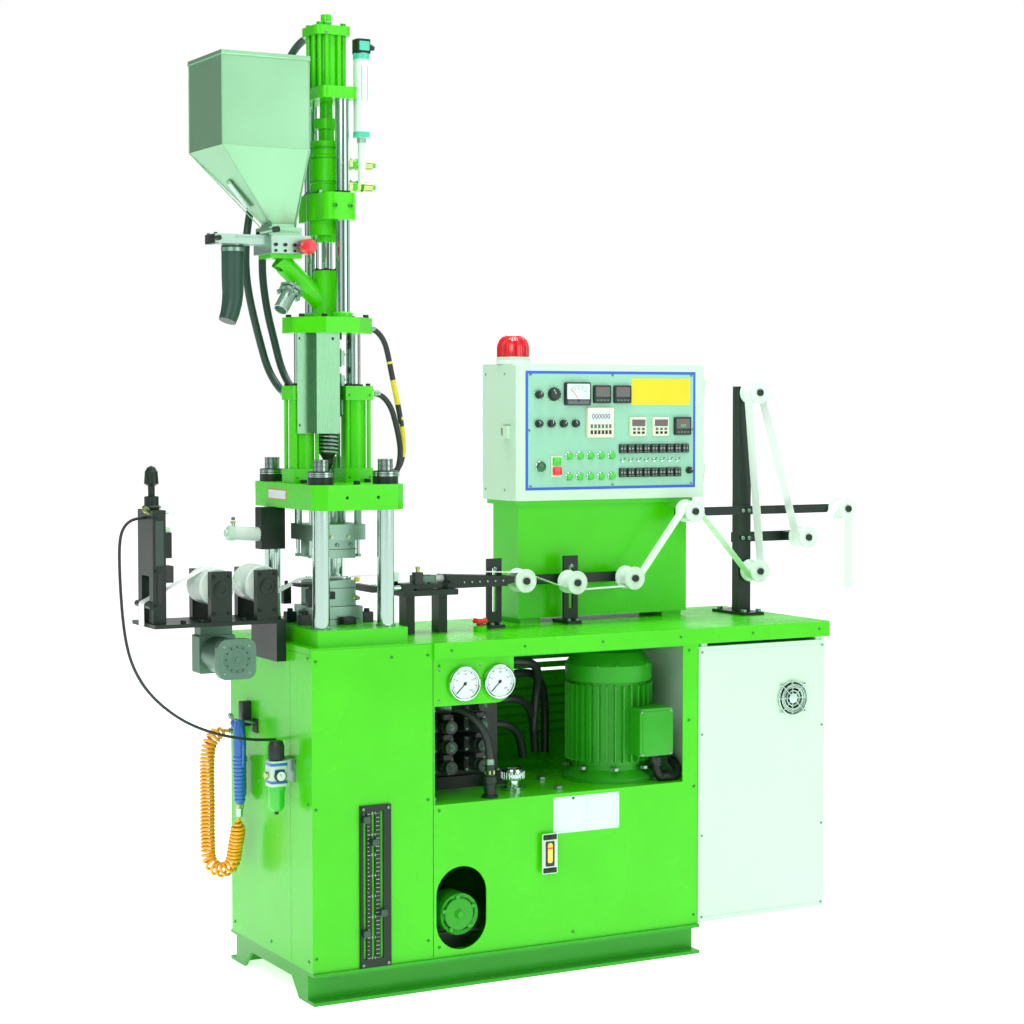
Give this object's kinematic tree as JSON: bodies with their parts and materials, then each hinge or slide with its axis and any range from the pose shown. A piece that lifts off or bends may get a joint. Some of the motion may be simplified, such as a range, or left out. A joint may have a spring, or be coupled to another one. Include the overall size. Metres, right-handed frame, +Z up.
{
  "type": "injection moulding machine",
  "caption": "Vertical bench injection moulding machine that moulds parts on to a carrier tape, with hopper, hydraulic clamp, control box, tape guides and puller.",
  "frame": {"origin": "centre of the four anchor bolt holes, on the floor", "axes": "+X to the operator's right along the bench, +Y to the back, +Z up"},
  "size_m": [2.1163, 0.5373, 2.335],
  "materials": {
    "green_paint": "gloss paint",
    "green_dark": "gloss paint",
    "white_paint": "satin paint",
    "black_paint": "satin paint",
    "black_iron": "oiled",
    "grey_iron": "machined",
    "steel": "ground",
    "stainless": "brushed",
    "chrome": "polished",
    "aluminium": "machined",
    "black_plastic": "moulded",
    "white_plastic": "moulded",
    "white_dial": "glazed",
    "green_knob": "moulded",
    "red_plastic": "gloss",
    "orange_plastic": "gloss",
    "blue_plastic": "gloss",
    "black_rubber": "smooth",
    "clear_tape": "smooth"
  },
  "bodies": {
    "root": {"skid": "green_dark", "press_cabinet": "green_paint", "machine_body": "green_paint", "bench_top": "green_paint", "electrical_cabinet": "white_paint", "pump_motor": "green_paint", "hydraulic_unit": "black_iron", "gauges": "white_dial", "scale_plate": "black_paint", "lower_platen": "green_paint", "lower_mould": "steel", "pedestal": "green_dark", "control_box": "white_paint", "tape_stands": "black_paint", "tape_feeder": "black_paint", "puller_frame": "black_paint", "puller_motor": "grey_iron", "bay_hoses": "black_rubber", "loop_tube": "black_rubber", "curly_hose": "orange_plastic", "tape": "clear_tape", "air_regulator": "grey_iron", "air_gun": "blue_plastic"},
    "clamp": {"upper_platen": "green_paint", "tie_bars": "chrome", "upper_mould": "steel", "lift_cylinders": "green_paint", "lift_hose": "black_rubber"},
    "carriage": {"carriage_plate": "green_paint", "barrel": "black_iron", "barrel_guard": "stainless", "feed_housing": "green_paint", "guide_columns": "chrome", "injection_cylinder": "green_paint", "transducer": "white_plastic", "hopper_base": "aluminium", "tower_hoses": "black_rubber"},
    "hopper_unit": {"hopper": "stainless"},
    "lid": {"hopper_lid": "stainless"},
    "crosshead_unit": {"crosshead": "green_paint", "hydraulic_motor": "green_dark"},
    "screw": {"feed_screw": "chrome"},
    "door": {"control_door": "white_paint", "door_controls": "black_plastic"},
    "fan": {"fan_rotor": "black_plastic"},
    "stop_button": {"emergency_stop": "red_plastic"},
    "idler_1": {"idler_1": "white_plastic"},
    "idler_2": {"idler_2": "white_plastic"},
    "idler_3": {"idler_3": "white_plastic"},
    "idler_4": {"idler_4": "white_plastic"},
    "idler_5": {"idler_5": "white_plastic"},
    "idler_6": {"idler_6": "white_plastic"},
    "idler_7": {"idler_7": "white_plastic"},
    "idler_8": {"idler_8": "white_plastic"},
    "pull_roller_1": {"pull_roller_1": "white_plastic"},
    "pull_roller_2": {"pull_roller_2": "white_plastic"},
    "stroke_slider_1": {"stroke_slider_1": "green_knob"},
    "stroke_slider_2": {"stroke_slider_2": "green_knob"},
    "stroke_slider_3": {"stroke_slider_3": "green_knob"},
    "stroke_slider_4": {"stroke_slider_4": "green_knob"}
  },
  "joints": [
    {"name": "clamp_stroke", "type": "slide", "parent": "root", "child": "clamp", "axis": [0, 0, 1], "range_m": [-0.045, 0.055]},
    {"name": "carriage_lift", "type": "slide", "parent": "clamp", "child": "carriage", "axis": [0, 0, 1], "range_m": [-0.09, 0], "deforming": ["tower_hoses"]},
    {"name": "injection_stroke", "type": "slide", "parent": "carriage", "child": "crosshead_unit", "axis": [0, 0, 1], "range_m": [-0.05, 0]},
    {"name": "screw_turn", "type": "hinge", "parent": "crosshead_unit", "child": "screw", "pos_m": [-0.391, -0.027, 1.6], "axis": [0, 0, 1], "continuous": true},
    {"name": "hopper_slide", "type": "slide", "parent": "carriage", "child": "hopper_unit", "axis": [-1, 0, 0], "range_m": [0, 0.118]},
    {"name": "lid_lift", "type": "slide", "parent": "hopper_unit", "child": "lid", "axis": [0, 0, 1], "range_m": [0, 0.15]},
    {"name": "door_hinge", "type": "hinge", "parent": "root", "child": "door", "pos_m": [0.743, 0.054, 1.3], "axis": [0, 0, 1], "range_deg": [0, 110]},
    {"name": "fan_turn", "type": "hinge", "parent": "root", "child": "fan", "pos_m": [0.825, -0.235, 0.637], "axis": [0, 1, 0], "continuous": true},
    {"name": "stop_press", "type": "slide", "parent": "root", "child": "stop_button", "axis": [0, 0, -1], "range_m": [0, 0.005], "stiffness_N_per_m": 800},
    {"name": "idler_1_turn", "type": "hinge", "parent": "root", "child": "idler_1", "pos_m": [0.145, -0.027, 0.954], "axis": [0, 1, 0], "continuous": true},
    {"name": "idler_2_turn", "type": "hinge", "parent": "root", "child": "idler_2", "pos_m": [0.295, -0.027, 0.944], "axis": [0, 1, 0], "continuous": true},
    {"name": "idler_3_turn", "type": "hinge", "parent": "root", "child": "idler_3", "pos_m": [0.469, -0.027, 0.949], "axis": [0, 1, 0], "continuous": true},
    {"name": "idler_4_turn", "type": "hinge", "parent": "root", "child": "idler_4", "pos_m": [0.655, -0.027, 1.119], "axis": [0, 1, 0], "continuous": true},
    {"name": "idler_5_turn", "type": "hinge", "parent": "root", "child": "idler_5", "pos_m": [0.864, -0.027, 0.953], "axis": [0, 1, 0], "continuous": true},
    {"name": "idler_6_turn", "type": "hinge", "parent": "root", "child": "idler_6", "pos_m": [0.86, -0.027, 1.433], "axis": [0, 1, 0], "continuous": true},
    {"name": "idler_7_turn", "type": "hinge", "parent": "root", "child": "idler_7", "pos_m": [1.023, -0.027, 1.04], "axis": [0, 1, 0], "continuous": true},
    {"name": "idler_8_turn", "type": "hinge", "parent": "root", "child": "idler_8", "pos_m": [1.156, -0.027, 1.115], "axis": [0, 1, 0], "continuous": true},
    {"name": "pull_roller_1_turn", "type": "hinge", "parent": "root", "child": "pull_roller_1", "pos_m": [-0.695, -0.027, 0.973], "axis": [0, 1, 0], "continuous": true},
    {"name": "pull_roller_2_turn", "type": "hinge", "parent": "root", "child": "pull_roller_2", "pos_m": [-0.58, -0.027, 0.976], "axis": [0, 1, 0], "continuous": true},
    {"name": "stroke_slider_1_slide", "type": "slide", "parent": "root", "child": "stroke_slider_1", "axis": [0, 0, 1], "range_m": [-0.12, 0.008]},
    {"name": "stroke_slider_2_slide", "type": "slide", "parent": "root", "child": "stroke_slider_2", "axis": [0, 0, 1], "range_m": [-0.26, 0.063]},
    {"name": "stroke_slider_3_slide", "type": "slide", "parent": "root", "child": "stroke_slider_3", "axis": [0, 0, 1], "range_m": [-0.1, 0.232]},
    {"name": "stroke_slider_4_slide", "type": "slide", "parent": "root", "child": "stroke_slider_4", "axis": [0, 0, 1], "range_m": [-0.054, 0.1]}
  ],
  "couplings": [
    {"joint": "pull_roller_2_turn", "follows": "pull_roller_1_turn", "ratio": -1}
  ]
}
